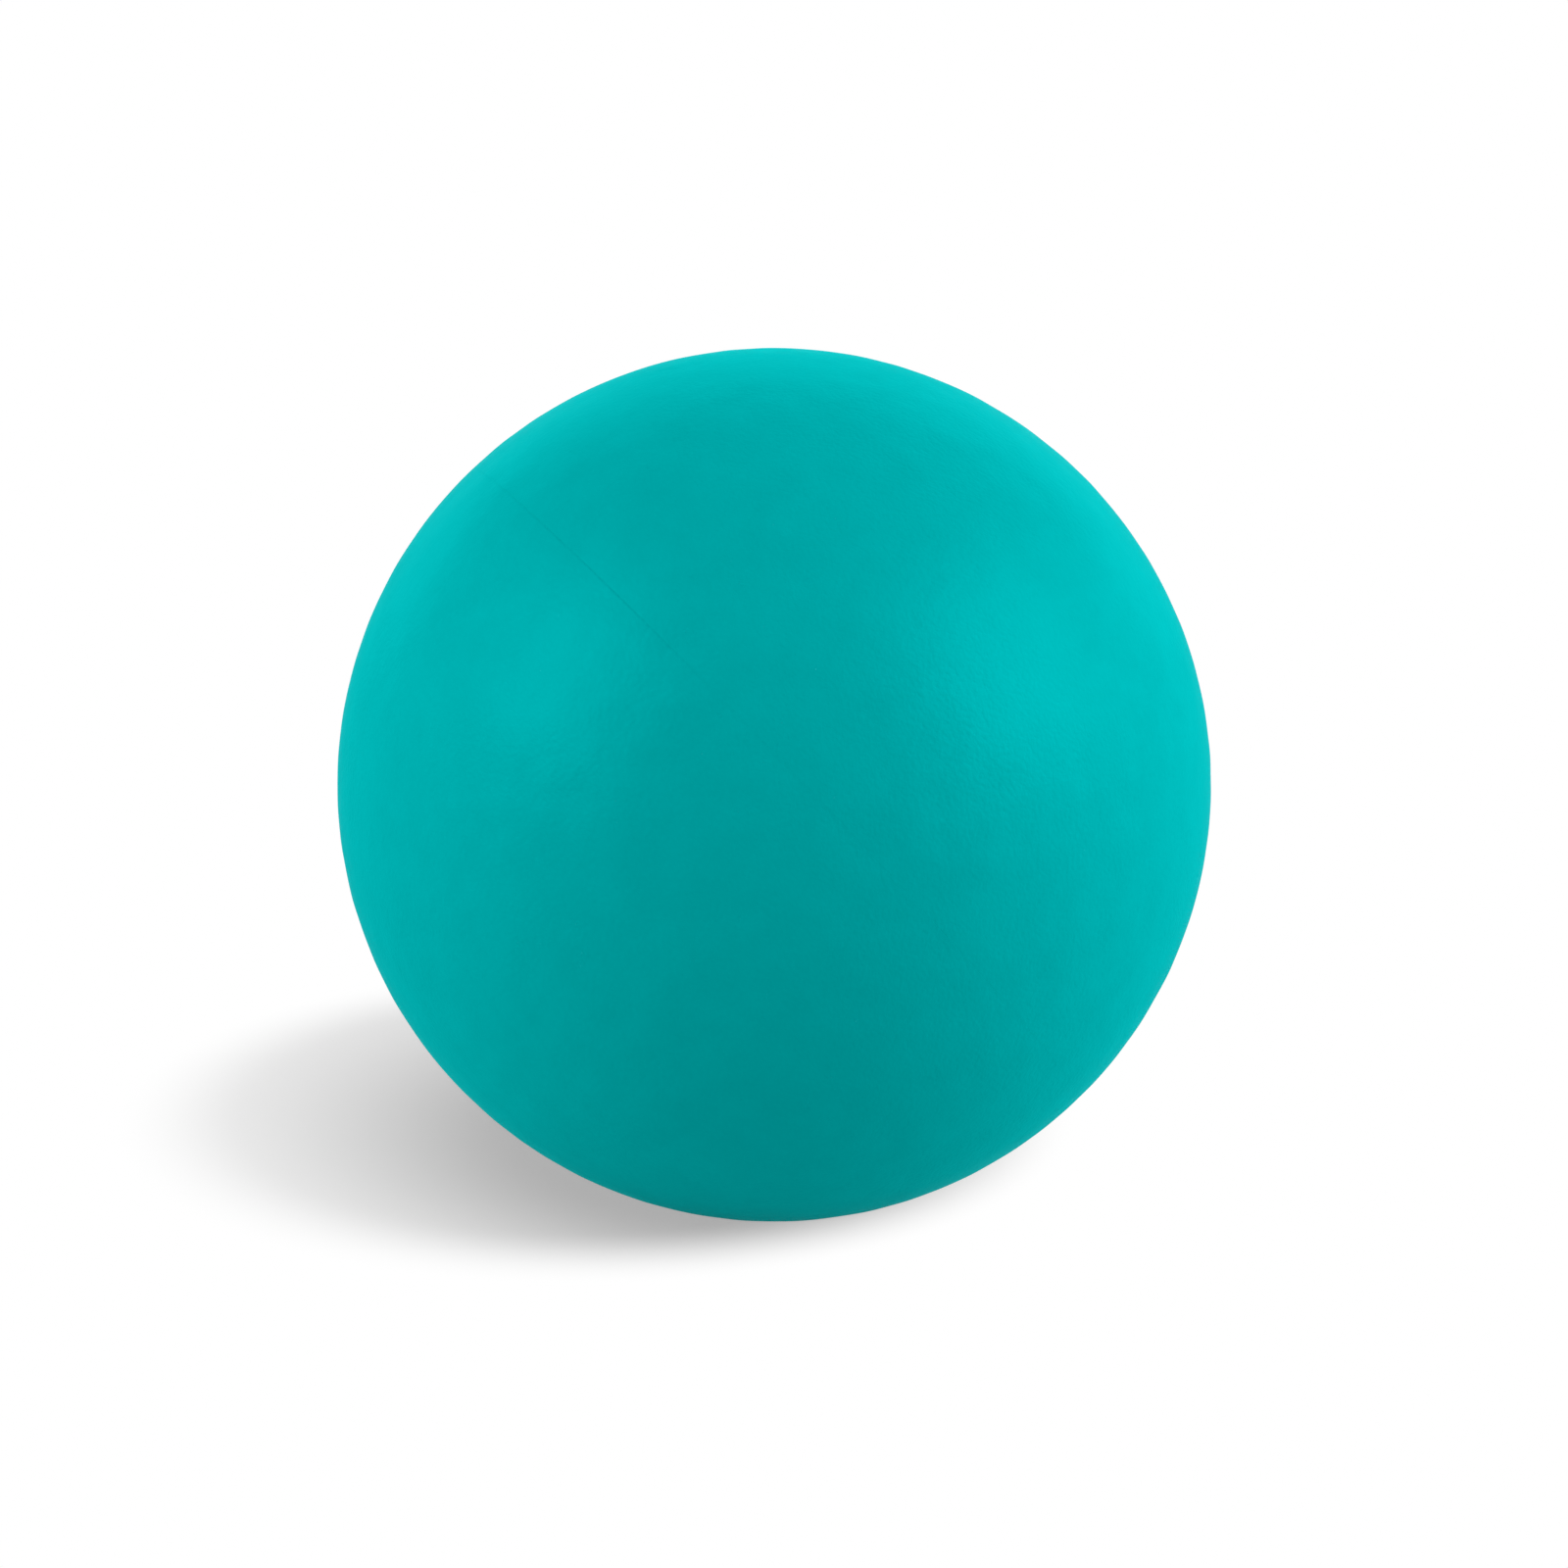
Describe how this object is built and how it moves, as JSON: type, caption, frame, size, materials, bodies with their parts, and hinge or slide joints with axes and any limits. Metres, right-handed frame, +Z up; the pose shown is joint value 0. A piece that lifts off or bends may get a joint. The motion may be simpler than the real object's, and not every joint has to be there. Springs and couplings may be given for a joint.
{
  "type": "lacrosse ball",
  "caption": "Smooth matte rubber ball, a pressed core bonded inside a coloured cover with a fine parting seam, for throwing and catching in lacrosse.",
  "frame": {"origin": "the ball's centre", "axes": "+Z up and -Y towards the viewer, with the ball as it lies; the parting plane leans 48.9 degrees from level, and the upper half's pole leans 17.2 degrees round from +X towards +Y"},
  "size_m": [0.0634, 0.0634, 0.0634],
  "materials": {
    "core_rubber": "matte, dark reclaimed rubber with pale flecks",
    "cover_rubber": "matte teal rubber with a very fine grain"
  },
  "bodies": {
    "root": {"core": "core_rubber", "cover_upper_half": "cover_rubber", "cover_lower_half": "cover_rubber"}
  },
  "joints": []
}
